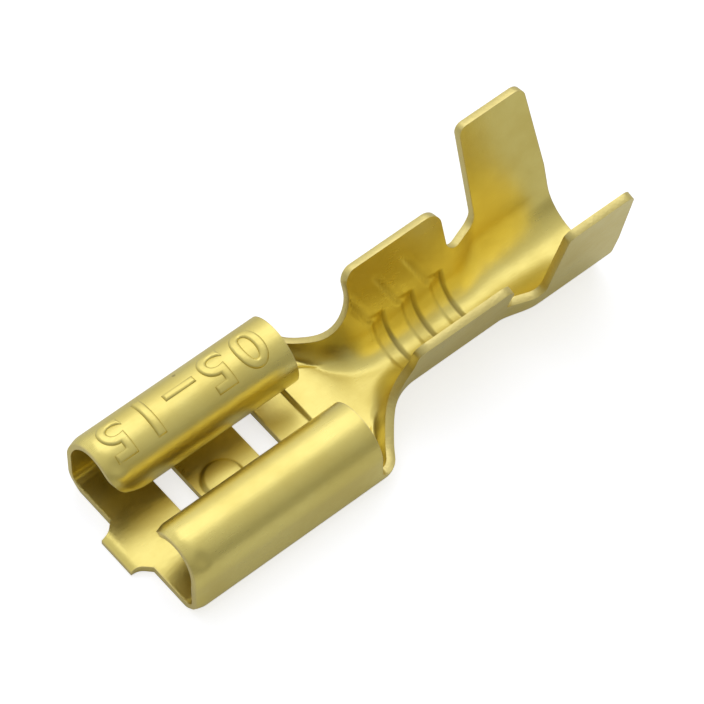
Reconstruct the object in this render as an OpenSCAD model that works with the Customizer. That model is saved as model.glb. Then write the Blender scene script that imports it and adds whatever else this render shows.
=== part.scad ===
// Female spade terminal: one strip of brass, pierced, folded and curled.
// The tab slides in at the -X end, and the wire is crimped at the +X end.
// Inside this file x runs from the front edge of the floor towards the wire, z = 0 is the
// underside, and the finished part is moved so that the middle of its length is at x = 0.

/* [Sheet] */
// Thickness of the sheet
sheet_t = 0.32; // [0.28:0.02:0.4]
// Outside radius of the two long bends beside the floor
bend_r = 0.78; // [0.7:0.02:0.86]

/* [Mating tab] */
// Width of the tab that the terminal takes
tab_w = 6.35; // [6.1:0.05:6.5]
// Thickness of the tab
tab_t = 0.8; // [0.7:0.05:0.9]
// Free width left beside the tab, both sides together
tab_side_gap = 0.4; // [0.2:0.05:0.6]
// How much closer than the tab's thickness the curled edges stand to the floor
tab_grip = 0.02; // [0:0.01:0.1]

/* [Receptacle] */
// Length of the curled part, from the front edge of the floor
roll_l = 8.3; // [7.5:0.1:9]
// Height over the curls
roll_h = 3.25; // [3.1:0.05:3.5]
// How far the curls turn past straight down, degrees
curl_over = 34; // [28:1:40]
// How far the tops of the curls stand back from the front edge
mouth_rake = 0.16; // [0:0.02:0.3]
// Radius that rounds the front corner of each curled edge, to lead the tab in
lead_r = 2; // [1.2:0.1:2.2]
// Radius of the rear corner of each curled edge
tail_r = 0.5; // [0.2:0.05:0.7]

/* [Floor] */
// Length of the lip in front of the floor
lip_l = 0.7; // [0.4:0.05:1]
// Width of the lip at its tip
lip_w = 1.66; // [1.2:0.02:2.2]
// How far the lip widens on each side before it meets the floor
lip_flare = 0.4; // [0.3:0.05:0.6]
// Length of the bevel that leads the tab onto the floor
floor_lead_l = 0.35; // [0.2:0.05:0.5]
// Depth of that bevel
floor_lead_h = 0.12; // [0.05:0.01:0.2]
// Start of the front window, from the front edge
window_1_x = 2.16; // [1.8:0.02:2.4]
// Length of the front window
window_1_l = 0.92; // [0.6:0.02:1]
// Start of the rear window, from the front edge
window_2_x = 5.7; // [5.5:0.02:6]
// Length of the rear window
window_2_l = 0.96; // [0.6:0.02:1.2]
// Width of both windows
window_w = 4.4; // [3.6:0.1:5]
// Distance of the locking bump from the front edge
bump_x = 4.1; // [4:0.05:4.5]
// Diameter of the locking bump, which enters the hole in the tab
bump_d = 1.66; // [1.2:0.02:1.7]
// Height of the locking bump
bump_h = 0.26; // [0.15:0.01:0.3]
// Distance of the tab's stop from the front edge
stop_x = 8; // [7.5:0.05:8.1]
// Height of the stop above the floor
stop_h = 0.16; // [0.1:0.01:0.2]
// Length of the ramp behind the stop
stop_l = 2.2; // [1:0.1:2.6]
// Flat left between each end of the stop and the bend beside the floor
stop_gap = 0.3; // [0.2:0.05:0.6]

/* [Neck] */
// Straight length between the curls and the neck
neck_lead = 0.2; // [0.1:0.05:0.4]
// Angle at which the side walls run in
neck_angle = 52; // [45:1:58]
// Radius of the outer corner of the neck, in plan
neck_corner_r = 0.87; // [0.86:0.01:1]
// Radius of the hollow of the neck, in plan
neck_hollow_r = 2.2; // [1.8:0.1:2.6]
// Height of the side walls just behind the curls
neck_wall_h = 0.7; // [0.64:0.01:0.9]
// Radius of the fillet between the curls and those walls
foot_r = 0.35; // [0.25:0.05:0.45]
// How gently the walls start to rise towards the wire barrel
sweep_lead = 0.35; // [0.2:0.05:0.6]
// Height at which they have become the upright front of its wings
sweep_top_h = 3.15; // [2.8:0.05:3.3]

/* [Wire barrel] */
// Inside radius of the round bottom of the wire barrel
wire_r = 1.16; // [1:0.02:1.24]
// Outward lean of its wings, degrees from upright
wire_lean = 16; // [10:1:18]
// Length of its straight part, along the bottom
wire_l = 3.9; // [3.7:0.05:4.3]
// Height of the outer edge of its wings
wire_h = 4.1; // [3.8:0.05:4.4]
// How far its wings reach forward over the neck
wire_reach = 0.55; // [0.3:0.05:0.7]
// Radius of the front top corners of its wings
wire_front_r = 0.5; // [0.3:0.05:0.7]
// Radius of the rear top corners of its wings
wire_rear_r = 0.6; // [0.3:0.05:0.8]
// Number of grooves pressed across it
groove_n = 3; // [1:1:3]
// Distance from one groove to the next
groove_pitch = 1.34; // [1.1:0.02:1.36]
// Width of each groove at its mouth
groove_w = 0.64; // [0.4:0.02:0.7]
// Depth of each groove
groove_h = 0.12; // [0.05:0.01:0.14]
// Distance of the first groove from the start of the straight part
groove_x = 0.42; // [0.4:0.02:0.6]

/* [Insulation barrel] */
// Inside radius of the round bottom of the insulation barrel
grip_r = 1.68; // [1.5:0.02:1.9]
// Outward lean of its wings, degrees from upright
grip_lean = 13.4; // [8:0.1:15]
// Length between the two barrels
waist_l = 1.48; // [1.36:0.02:1.8]
// Length of the barrel, along the bottom
grip_l = 3.4; // [3:0.05:4]
// Height of the outer edge of its wings
grip_h = 6.65; // [6:0.05:7]
// Slope of the upper part of its rear edge, degrees from upright
grip_rake = 4.5; // [1:0.5:6]
// Height at which that slope begins
rake_z = 2.6; // [2.2:0.1:4]
// Radius of the front top corners of its wings
grip_front_r = 0.35; // [0.2:0.05:0.6]
// Radius of the rear top corners of its wings
grip_rear_r = 0.45; // [0.2:0.05:0.7]
// Height of the bottom of the notches between the wings
notch_z = 2.05; // [1.8:0.05:2.3]
// Radius of the notches' corners
notch_r = 0.5; // [0.3:0.05:0.6]

/* [Hidden] */
$fn = 96;

// Receptacle section, derived
half_w = (tab_w + tab_side_gap) / 2 + sheet_t;
flat_y = half_w - bend_r;
tip_z = sheet_t + tab_t - tab_grip;
// The curl fills the height between its edge, which grips the tab, and the top
curl_r = (roll_h - tip_z) / (1 + sin(curl_over));
curl_end = 180 + curl_over;
curl_y = half_w - curl_r;
curl_z = roll_h - curl_r;
stop_w = 2 * (flat_y - stop_gap);

// Stations along the part
neck_x0 = roll_l + neck_lead;
wire_out_r = wire_r + sheet_t;
grip_out_r = grip_r + sheet_t;
neck_run = ((half_w - wire_out_r) - (neck_corner_r + neck_hollow_r) * (1 - cos(neck_angle)))
    / sin(neck_angle);
corner_x1 = neck_x0 + neck_corner_r * sin(neck_angle);
hollow_x0 = corner_x1 + neck_run * cos(neck_angle);
wire_x0 = hollow_x0 + neck_hollow_r * sin(neck_angle);
wire_x1 = wire_x0 + wire_l;
grip_x0 = wire_x1 + waist_l;
grip_x1 = grip_x0 + grip_l;

// The wings stop this far short of the straight parts that carry them
wing_gap = 0.05;
wing_x0 = wire_x0 - wire_reach;
wing_x1 = wire_x1 - wing_gap;
grip_wing_x0 = grip_x0 + wing_gap;
// Tilt that makes the trimmed edges square to the leaning wings
trim_lean = (wire_lean + grip_lean) / 2;

// How far inside the plain faces the drawn stretches stand, and how far they run into them
pressed = 0.02;
bury = 0.2;
// Overshoot of the cutting tools past the sheet
over = 1;
// Height to which the wings are drawn before their edges are trimmed
wire_loft_h = wire_h + 0.4;
grip_loft_h = grip_h + 0.4;
// Steps of the bends, of the curves in plan, of the trimmed corners and of the other curves
arc_n = 10;
plan_n = 7;
corner_n = 8;
lip_n = 5;
sweep_n = 14;
curl_n = 20;

function smooth(u) = let(v = min(max(u, 0), 1)) v * v * (3 - 2 * v);
function mix(a, b, u) = a * (1 - u) + b * u;
function bezier(a, b, c, d, u) =
    a * pow(1 - u, 3) + 3 * b * u * pow(1 - u, 2) + 3 * c * u * u * (1 - u) + d * pow(u, 3);
function arc(centre, r, a0, a1) =
    [for (i = [0:corner_n]) let(a = mix(a0, a1, i / corner_n)) centre + r * [cos(a), sin(a)]];

// Half width of the neck at x, for the line that runs "inset" inside its outer face
function neck_half(x, inset) = let(
    corner = neck_corner_r - inset,
    hollow = neck_hollow_r + inset,
    corner_end = neck_x0 + corner * sin(neck_angle),
    hollow_start = wire_x0 - hollow * sin(neck_angle),
    y_end = half_w - inset - corner * (1 - cos(neck_angle)))
    x <= neck_x0 ? half_w - inset
    : x < corner_end ? half_w - inset - corner + sqrt(corner * corner - pow(x - neck_x0, 2))
    : x < hollow_start ? y_end - (x - corner_end) * tan(neck_angle)
    : wire_out_r - inset + (hollow - sqrt(hollow * hollow - pow(max(wire_x0 - x, 0), 2)));

// Side of an open channel: [half width, thickness of its wall across, bend radius, lean]
function neck_side(x) = [
    neck_half(x, 0),
    neck_half(x, 0) - neck_half(x, sheet_t),
    mix(bend_r, wire_out_r, smooth((x - neck_x0) / (hollow_x0 - neck_x0))),
    mix(0, wire_lean, smooth((x - corner_x1) / (wire_x0 - corner_x1)))];
function waist_side(u) = let(
    v = smooth(u),
    slope = (grip_out_r - wire_out_r) * 6 * u * (1 - u) / waist_l,
    r = mix(wire_out_r, grip_out_r, v))
    [r, sheet_t * sqrt(1 + slope * slope), r, mix(wire_lean, grip_lean, v)];

// Distance of the side's outer face from the middle, at height z
function face_y(side, z) = let(
    half = side[0], r = side[2], lean = side[3], foot_z = r * (1 - sin(lean)))
    z < foot_z ? half - r + sqrt(r * r - pow(r - z, 2))
    : half - r + r * cos(lean) + (z - foot_z) * tan(lean);

// One cross-section of an open channel, from the top of the far wall round to the top of the
// near one. Each entry is [outer point, inner point] at that x.
function section(x, side, top) = let(
    half = side[0] - pressed, wall_t = side[1] - 2 * pressed, r = side[2] - pressed,
    lean = side[3], t = sheet_t - 2 * pressed,
    centre_y = max(half - r, pressed / 2),
    angles = [for (k = [0:arc_n]) -mix(lean, 90, k / arc_n)],
    deep = [for (a = angles) sqrt(t * t + (wall_t * wall_t - t * t) * cos(a) * cos(a))],
    foot_y = centre_y + r * cos(lean),
    foot_z = r - r * sin(lean),
    top_y = foot_y + (top - foot_z) * tan(lean),
    far = concat(
        [[[x, top_y, top], [x, top_y - deep[0] / cos(lean), top]]],
        [for (k = [0:arc_n]) let(a = angles[k], q = r - deep[k])
            [[x, centre_y + r * cos(a), pressed + r + r * sin(a)],
             [x, centre_y + q * cos(a), pressed + r + q * sin(a)]]]))
    concat(far, [for (k = [arc_n + 1:-1:0])
        [[x, -far[k][0][1], far[k][0][2]], [x, -far[k][1][1], far[k][1][2]]]]);

// Solid skin through a list of rows, each a list of [outer point, inner point]
module loft(sections) {
    rows = len(sections);
    cols = len(sections[0]);
    points = [for (s = sections) for (pair = s) for (p = pair) p];
    function id(i, k, layer) = (i * cols + k) * 2 + layer;
    skin = [for (i = [0:rows - 2]) for (k = [0:cols - 2]) each [
        [id(i, k, 0), id(i + 1, k + 1, 0), id(i + 1, k, 0)],
        [id(i, k, 0), id(i, k + 1, 0), id(i + 1, k + 1, 0)],
        [id(i, k, 1), id(i + 1, k, 1), id(i + 1, k + 1, 1)],
        [id(i, k, 1), id(i + 1, k + 1, 1), id(i, k + 1, 1)]]];
    rims = [for (i = [0:rows - 2]) each [
        [id(i, 0, 0), id(i + 1, 0, 1), id(i, 0, 1)],
        [id(i, 0, 0), id(i + 1, 0, 0), id(i + 1, 0, 1)],
        [id(i, cols - 1, 0), id(i, cols - 1, 1), id(i + 1, cols - 1, 1)],
        [id(i, cols - 1, 0), id(i + 1, cols - 1, 1), id(i + 1, cols - 1, 0)]]];
    ends = [for (k = [0:cols - 2]) each [
        [id(0, k, 0), id(0, k + 1, 1), id(0, k + 1, 0)],
        [id(0, k, 0), id(0, k, 1), id(0, k + 1, 1)],
        [id(rows - 1, k, 0), id(rows - 1, k + 1, 0), id(rows - 1, k + 1, 1)],
        [id(rows - 1, k, 0), id(rows - 1, k + 1, 1), id(rows - 1, k, 1)]]];
    polyhedron(points, concat(skin, rims, ends), convexity = 6);
}

// Stand a (y, z) outline up and draw it out along x
module along_x(x0, x1) {
    translate([x0, 0, 0]) rotate([90, 0, 90]) linear_extrude(x1 - x0) children();
}

// Stand an (x, z) outline up and draw it out along y, from y0 to y1
module along_y(y0, y1) {
    translate([0, y1, 0]) rotate([90, 0, 0]) linear_extrude(y1 - y0) children();
}

module both_sides() {
    children();
    mirror([0, 1, 0]) children();
}

// Sector of a ring of the sheet's thickness, from angle a0 to a1
module bend(r, a0, a1) {
    reach = 2 * r;
    steps = ceil((a1 - a0) / 60);
    intersection() {
        difference() {
            circle(r);
            circle(r - sheet_t);
        }
        polygon(concat([[0, 0]], [for (i = [0:steps]) let(a = mix(a0, a1, i / steps))
            reach * [cos(a), sin(a)]]));
    }
}

// Everything inside a U whose round bottom has radius r about the barrel's axis
module channel_fill(r, lean, rise) {
    foot_y = r * cos(lean);
    foot_z = -r * sin(lean);
    circle(r);
    polygon([[-foot_y, foot_z], [foot_y, foot_z], [foot_y + rise * tan(lean), foot_z + rise],
        [-foot_y - rise * tan(lean), foot_z + rise]]);
}

// Open U of a crimp barrel: a round bottom and two leaning wings
module open_barrel(x0, x1, r, lean, rise) {
    translate([0, 0, r]) difference() {
        along_x(x0, x1) channel_fill(r, lean, rise);
        along_x(x0 - over, x1 + over) channel_fill(r - sheet_t, lean, rise + over);
    }
}

// Half of the receptacle's section: bend, side and curl
module curl_profile() {
    translate([flat_y, bend_r]) bend(bend_r, -90, 0);
    translate([half_w - sheet_t, bend_r]) square([sheet_t, curl_z - bend_r]);
    translate([curl_y, curl_z]) bend(curl_r, 0, curl_end);
}

// Floor of the receptacle in plan, with the lip that leads the tab in
module floor_plan() {
    tip = lip_w / 2;
    root = tip + lip_flare;
    side = [for (i = [0:lip_n]) let(u = i / lip_n)
        [bezier(0, -lip_l * 0.35, -lip_l * 0.45, -lip_l, u),
         bezier(root, root - 0.6 * lip_flare, tip, tip, u)]];
    polygon(concat([[roll_l, flat_y], [0, flat_y]], side,
        [for (i = [lip_n:-1:0]) [side[i][0], -side[i][1]]], [[0, -flat_y], [roll_l, -flat_y]]));
}

// Round hump whose top is a shallow dome, for the locking bump
module hump(r, h) {
    rim_h = 0.6 * h;
    top_r = 0.85 * r;
    dome_h = h - rim_h;
    dome_r = (top_r * top_r + dome_h * dome_h) / (2 * dome_h);
    cylinder(h = rim_h, r1 = r, r2 = top_r);
    intersection() {
        translate([0, 0, h - dome_r]) sphere(dome_r);
        cylinder(h = 2 * h, r = top_r);
    }
}

// Ramp that ends in the upright stop for the tab
module stop_ramp(width) {
    end_w = width - 1.24 * stop_l;
    translate([stop_x, 0, 0]) intersection() {
        along_y(-width / 2, width / 2) polygon([[0, 0], [0, stop_h], [stop_l, 0]]);
        linear_extrude(stop_h) polygon([[0, -width / 2], [0, width / 2],
            [stop_l, end_w / 2], [stop_l, -end_w / 2]]);
    }
}

module receptacle() {
    difference() {
        union() {
            linear_extrude(sheet_t) floor_plan();
            both_sides() along_x(0, roll_l) curl_profile();
            translate([bump_x, 0, sheet_t]) hump(bump_d / 2, bump_h);
            translate([0, 0, sheet_t]) stop_ramp(stop_w);
        }
        stop_ramp(stop_w - sheet_t);
        for (w = [[window_1_x, window_1_l], [window_2_x, window_2_l]])
            translate([w[0], -window_w / 2, -over]) cube([w[1], window_w, sheet_t + 2 * over]);
        translate([bump_x, 0, 0]) hump((bump_d - sheet_t) / 2, bump_h);
        lip_bevel();
        both_sides() {
            curl_trim(-over, 1);
            curl_trim(roll_l + over, -1);
        }
    }
}

// Bevel on top of the lip's front edge
module lip_bevel() {
    slope = floor_lead_h / floor_lead_l;
    along_y(-half_w, half_w) polygon([[-lip_l - over, sheet_t - floor_lead_h - slope * over],
        [floor_lead_l - lip_l, sheet_t], [floor_lead_l - lip_l, sheet_t + over],
        [-lip_l - over, sheet_t + over]]);
}

// Where the curl's front edge (end 1) or rear edge (end -1) lies, at angle a about its axis
function curl_edge(a, end) = let(
    run = curl_r * (curl_end - 90) * PI / 180,
    s = curl_r * (a - 90) * PI / 180,
    r = end > 0 ? lead_r : tail_r,
    back = r - sqrt(r * r - pow(min(max(s - run + r, 0), r), 2)))
    end > 0 ? mouth_rake * (a < 90 ? sin(a) : 1) + back : roll_l - back;

// Tool that cuts one end of a curl along that edge, square to the sheet, from x0 onwards
module curl_trim(x0, end) {
    // the tool starts this many degrees before the edge and ends as far past it
    run_out = 4;
    first = end > 0 ? -run_out : 90;
    rows = [for (i = [0:curl_n]) mix(first, curl_end + run_out, i / curl_n)];
    inner = curl_r - sheet_t - bury;
    outer = curl_r + bury;
    translate([0, curl_y, curl_z]) loft([for (a = rows) let(edge = curl_edge(a, end))
        [for (x = [min(x0, edge), max(x0, edge)])
            [[x, outer * cos(a), outer * sin(a)], [x, inner * cos(a), inner * sin(a)]]]]);
}

// Stretch between the receptacle and the wire barrel
module neck() {
    stations = concat([roll_l - bury, roll_l],
        [for (i = [0:plan_n]) neck_x0 + neck_corner_r * sin(neck_angle * i / plan_n)],
        [mix(corner_x1, hollow_x0, 1 / 3), mix(corner_x1, hollow_x0, 2 / 3)],
        [for (i = [0:plan_n]) wire_x0 - neck_hollow_r * sin(neck_angle * (1 - i / plan_n))],
        [wire_x0 + bury]);
    loft([for (x = stations) section(x, neck_side(x), wire_loft_h)]);
}

// Stretch between the two barrels
module waist() {
    steps = 2 * plan_n;
    loft([for (j = [-1:steps + 1]) let(u = min(max(j / steps, 0), 1))
        section(mix(wire_x1, grip_x0, u) + (j - u * steps) * bury, waist_side(u), wire_loft_h)]);
}

module wire_barrel() {
    difference() {
        open_barrel(wire_x0, wire_x1, wire_out_r, wire_lean, wire_loft_h);
        for (i = [0:groove_n - 1])
            translate([wire_x0 + groove_x + i * groove_pitch, 0, wire_out_r]) rotate([0, 90, 0])
                groove();
    }
}

// Disc with bevelled rims that presses one groove into the barrel and runs out up its wings
module groove() {
    bevel_w = 0.2 * groove_w;
    rim_r = wire_r + groove_h;
    for (m = [0, 1]) mirror([0, 0, m]) {
        cylinder(h = groove_w / 2 - bevel_w, r = rim_r);
        translate([0, 0, groove_w / 2 - bevel_w])
            cylinder(h = 2 * bevel_w, r1 = rim_r, r2 = rim_r - 2 * groove_h);
    }
}

module insulation_barrel() {
    open_barrel(grip_x0, grip_x1, grip_out_r, grip_lean, grip_loft_h);
}

// Height up the tilted trimming plane of a point at (y, z)
function climb(y, z) = y * sin(trim_lean) + (z - wire_out_r) * cos(trim_lean);
function wing_climb(side, z) = climb(face_y(side, z), z);

// Outline of one side of the neck and of both barrels, in (x, height up the trimming plane)
module wing_outline() {
    base = -2 * grip_out_r;
    wire_side = [wire_out_r, sheet_t, wire_out_r, wire_lean];
    grip_side = [grip_out_r, sheet_t, grip_out_r, grip_lean];
    low = wing_climb(neck_side(roll_l), neck_wall_h);
    wire_top = wing_climb(wire_side, wire_h);
    grip_top = wing_climb(grip_side, grip_h);
    notch = wing_climb(waist_side(0.5), notch_z);
    // fillet between the rear edge of the curls and the low wall, begun just inside that edge
    foot_a = 195;
    foot = [roll_l + 0.9 * foot_r, low + foot_r];
    // low wall that sweeps up into the front of the wire wings
    sweep = [for (i = [0:sweep_n]) let(u = i / sweep_n,
        x = bezier(corner_x1, corner_x1 + sweep_lead, wing_x0, wing_x0, u),
        z = bezier(neck_wall_h, neck_wall_h, wire_h / 2, sweep_top_h, u))
        [x, wing_climb(neck_side(x), z)]];
    // rear edge, upright at first and then leaning forward
    rake_from = wing_climb(grip_side, rake_z);
    rear_x = grip_x1 - (grip_top - rake_from) * tan(grip_rake);
    base_x = grip_x1 + (rake_from - base) * tan(grip_rake);
    polygon(concat(
        [[roll_l - bury, base], [roll_l - bury, foot[1] + foot_r * sin(foot_a)]],
        arc(foot, foot_r, foot_a, 270),
        [for (u = [0.4, 0.7]) let(x = mix(foot[0], corner_x1, u))
            [x, wing_climb(neck_side(x), neck_wall_h)]],
        sweep,
        arc([wing_x0 + wire_front_r, wire_top - wire_front_r], wire_front_r, 180, 90),
        arc([wing_x1 - wire_rear_r, wire_top - wire_rear_r], wire_rear_r, 90, 0),
        arc([wing_x1 + notch_r, notch + notch_r], notch_r, 180, 270),
        arc([grip_wing_x0 - notch_r, notch + notch_r], notch_r, 270, 360),
        arc([grip_wing_x0 + grip_front_r, grip_top - grip_front_r], grip_front_r, 180, 90),
        arc([rear_x - grip_rear_r, grip_top - grip_rear_r], grip_rear_r,
            90, grip_rake),
        [[base_x, base]]));
}

// What the blank's outline keeps of the neck and the barrels, cut square to the wings
module wing_trim() {
    both_sides() translate([0, 0, wire_out_r]) rotate([-trim_lean, 0, 0])
        along_y(0, 2 * half_w) wing_outline();
}

module terminal() {
    color("gold") translate([-(grip_x1 - lip_l) / 2, 0, 0]) {
        receptacle();
        intersection() {
            union() {
                neck();
                wire_barrel();
                waist();
                insulation_barrel();
            }
            wing_trim();
        }
    }
}

terminal();
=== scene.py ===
# %% [markdown]
# # A push-on female spade terminal in brass
#
# The real part is one strip of brass sheet, about 0.3 mm thick. A press pierces it, coins a few
# small features into it while it is flat, and then folds and curls it. This script makes the
# visible piece in the same order: blank, pierce, press, bend, finish. A sheet that is pressed
# flat and bent afterwards keeps one thickness all over and gets edges that are square to the
# sheet, which is how a sheared and folded part is recognised.

# %% Load the frame
import math
import bmesh
import bpy
from mathutils import Matrix, Vector


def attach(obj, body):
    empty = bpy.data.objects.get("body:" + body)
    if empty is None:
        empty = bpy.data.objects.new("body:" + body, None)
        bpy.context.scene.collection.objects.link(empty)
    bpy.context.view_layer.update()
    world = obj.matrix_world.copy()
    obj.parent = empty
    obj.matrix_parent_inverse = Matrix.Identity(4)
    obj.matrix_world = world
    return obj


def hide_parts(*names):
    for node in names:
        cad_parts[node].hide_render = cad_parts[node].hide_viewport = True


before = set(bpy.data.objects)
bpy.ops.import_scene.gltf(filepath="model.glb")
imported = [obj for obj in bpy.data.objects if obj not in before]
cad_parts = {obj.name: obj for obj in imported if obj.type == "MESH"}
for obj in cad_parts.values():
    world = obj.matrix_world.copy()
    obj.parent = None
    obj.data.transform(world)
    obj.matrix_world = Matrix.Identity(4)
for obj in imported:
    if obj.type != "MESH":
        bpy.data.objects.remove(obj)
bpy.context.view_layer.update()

# %% [markdown]
# ## Sizes
#
# Everything is worked out in millimetres, because the sheet is so small, and turned into metres
# when the mesh is finished. x runs from the front edge of the floor towards the wire. The frame
# has its origin in the middle of the length, so the piece is moved back by `x_shift` at the end.
# The bends follow the middle of the sheet's thickness, and `m` is half of that thickness.

# %% Sizes of the sheet, the receptacle and the barrels
MM = 0.001
sheet_t = 0.32
m = sheet_t / 2

half_w = 3.695
bend_r = 0.78
curl_r = 1.38
roll_h = 3.25
roll_l = 8.3
mouth_rake = 0.16
lead_r = 2.0
tail_r = 0.5
tip_z = 1.1
lead_x, tail_x = mouth_rake + lead_r, roll_l - tail_r
curl_z = roll_h - curl_r
curl_end = 180 + math.degrees(math.asin((curl_z - tip_z) / curl_r))
flat_y = half_w - bend_r

lip_l = 0.7
lip_w = 1.66
lip_flare = 0.4
windows = ((2.16, 3.08), (5.7, 6.66))
window_half = 2.2

neck_x0 = 8.5
neck_angle = 52.0
neck_corner_r = 0.87
neck_hollow_r = 2.2
wire_out_r = 1.48
wire_lean = 16.0
wire_l = 3.9
wire_h = 4.1
grip_out_r = 2.0
grip_lean = 13.4
waist_l = 1.48
grip_l = 3.4
grip_h = 6.65

sin_neck, cos_neck = math.sin(math.radians(neck_angle)), math.cos(math.radians(neck_angle))
neck_run = (half_w - wire_out_r - (neck_corner_r + neck_hollow_r) * (1 - cos_neck)) / sin_neck
corner_x1 = neck_x0 + neck_corner_r * sin_neck
hollow_x0 = corner_x1 + neck_run * cos_neck
wire_x0 = hollow_x0 + neck_hollow_r * sin_neck
wire_x1 = wire_x0 + wire_l
grip_x0 = wire_x1 + waist_l
grip_x1 = grip_x0 + grip_l
x_shift = (grip_x1 - lip_l) / 2
print("stations, mm:", [round(v, 3) for v in (neck_x0, wire_x0, wire_x1, grip_x0, grip_x1)])

# %% [markdown]
# ## The shape of the bent sheet
#
# At any x the bent sheet is a flat floor, a bend, a straight wall, and in the receptacle a curl.
# `side` says how wide the floor is there, how tight the bend is and how far the wall leans. The
# neck blends all three from the receptacle's values to the wire barrel's, and the waist does the
# same between the two barrels. `bent` follows the sheet from the middle line for a distance s and
# says where it is there. `folded` then steps off it, square to the sheet, by a height t.

# %% Width, bend and lean along the part
def mix(a, b, u):
    """a at u = 0, b at u = 1, and evenly in between."""
    return a * (1 - u) + b * u


def smooth(u):
    """An S curve from 0 to 1, level at both ends and beyond them."""
    u = min(max(u, 0.0), 1.0)
    return u * u * (3 - 2 * u)


def neck_half(x):
    """Half the width of the neck, along the middle of the sheet's thickness: a round corner, a
    straight flank and a hollow."""
    corner, hollow = neck_corner_r - m, neck_hollow_r + m
    corner_end = neck_x0 + corner * sin_neck
    hollow_start = wire_x0 - hollow * sin_neck
    if x <= neck_x0:
        return half_w - m
    if x < corner_end:
        return half_w - m - corner + math.sqrt(corner ** 2 - (x - neck_x0) ** 2)
    if x < hollow_start:
        y_end = half_w - m - corner * (1 - cos_neck)
        return y_end - (x - corner_end) * sin_neck / cos_neck
    return wire_out_r - m + hollow - math.sqrt(hollow ** 2 - max(wire_x0 - x, 0) ** 2)


def side(x):
    """Half width, bend radius and lean of the sheet at x, along the middle of its thickness."""
    if x <= wire_x0:
        r = mix(bend_r, wire_out_r, smooth((x - neck_x0) / (hollow_x0 - neck_x0)))
        lean = wire_lean * smooth((x - corner_x1) / (wire_x0 - corner_x1))
        return neck_half(x), r - m, math.radians(lean)
    u = smooth((x - wire_x1) / waist_l)
    r = mix(wire_out_r, grip_out_r, u) - m
    return r, r, math.radians(mix(wire_lean, grip_lean, u))


for x in (4.0, 9.5, 13.5, 19.0):
    print("x", x, "half width, bend radius, lean:", [round(v, 3) for v in side(x)])

# %% Follow the sheet from the middle outwards
curl_mid_r = curl_r - m
wall_run = flat_y + (bend_r - m) * math.pi / 2
curl_run = wall_run + curl_z - bend_r
roll_run = curl_run + curl_mid_r * math.radians(curl_end)
curl_slack = 0.01


def bent(x, s):
    """The point s from the middle line, on the middle of the sheet's thickness."""
    half, r, lean = side(x)
    q, flat, turn = abs(s), half - r, math.pi / 2 - lean
    if q <= flat:
        y, z = q, 0.0
    elif q <= flat + r * turn:
        a = (q - flat) / r
        y, z = flat + r * math.sin(a), r * (1 - math.cos(a))
    elif x <= roll_l + curl_slack and q > curl_run:
        a = (q - curl_run) / curl_mid_r
        y = half_w - curl_r + curl_mid_r * math.cos(a)
        z = curl_z - m + curl_mid_r * math.sin(a)
    else:
        w = q - flat - r * turn
        y = flat + r * math.sin(turn) + w * math.cos(turn)
        z = r * (1 - math.cos(turn)) + w * math.sin(turn)
    return Vector((x, math.copysign(y, s), z + m))


def run_at(x, z):
    """Distance along the sheet at which its outer face is z high."""
    half, r, lean = side(x)
    turn = math.pi / 2 - lean
    foot = (r + m) * (1 - math.cos(turn))
    if z < foot:
        return half - r + r * math.acos(1 - z / (r + m))
    return half - r + r * turn + (z - foot) / math.sin(turn)


def folded(x, s, t):
    """The point t above the middle of the sheet, after bending. Up is square to two short
    steps of h along the sheet, which is why `bent` curls the sheet a little past its end."""
    h = 0.004
    up = (bent(x + h, s) - bent(x - h, s)).cross(bent(x, s + h) - bent(x, s - h))
    return bent(x, s) + up.normalized() * t


print("half of the strip is", round(roll_run, 2), "mm wide where it is curled")

# %% [markdown]
# ## The flat blank
#
# The blank is a grid whose lines are laid along the outline, so that every sheared edge is a
# clean row of edges. Up to the tops of the low walls it is one band, `stations` long. The curls
# and the two pairs of wings stand on that band as three blocks. Each rounded corner of a block is
# split at its middle: one half belongs to the upright edge, the other half to the top edge.

# %% Stations along the band: x, and the distance s to its edge
wing_x0, wing_x1 = wire_x0 - 0.55, wire_x1 - 0.05
grip_wing_x0 = grip_x0 + 0.05
wall_h, notch_z, foot_r, notch_r = 0.7, 2.05, 0.35, 0.5
groove_first, groove_pitch = wire_x0 + 0.42, 1.34
groove_x = [groove_first + k * groove_pitch for k in range(3)]
groove_w, groove_h, groove_slope = 0.62, 0.14, 0.07
stop_x, stop_h, stop_l, stop_face = 8.0, 0.16, 2.2, 0.015
bump_x, bump_r, bump_h = 4.1, 0.83, 0.26
fine_step, lip_step, gap_step, wire_step, plain_step = 0.05, 0.08, 0.1, 0.11, 0.12
half_turn = math.sqrt(0.5)
stations = []


def lay(x0, x1, step, edge):
    """Stations from x0 to x1, no further apart than the step."""
    n = max(1, math.ceil((x1 - x0) / step))
    for k in range(1, n + 1):
        x = mix(x0, x1, k / n)
        stations.append((x, edge(x)))


def lay_arc(cx, base, r, a0, a1, n):
    """Stations round a hollow corner that stands on the line `base`."""
    for k in range(1, n + 1):
        a = math.radians(mix(a0, a1, k / n))
        x = cx + r * math.cos(a)
        stations.append((x, base(x) + r * (1 + math.sin(a))))


low = run_at(roll_l, wall_h)
foot_x = roll_l + foot_r * (1 - half_turn)
stations.append((-lip_l, low))
lay(-lip_l, 0, lip_step, lambda x: low)
lip_end = len(stations) - 1


def under_roll(x):
    """The band's edge under the curls. It rises over the last millimetre to the rear corner."""
    return low + foot_r * (1 - half_turn) * smooth(x - foot_x + 1)


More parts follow.
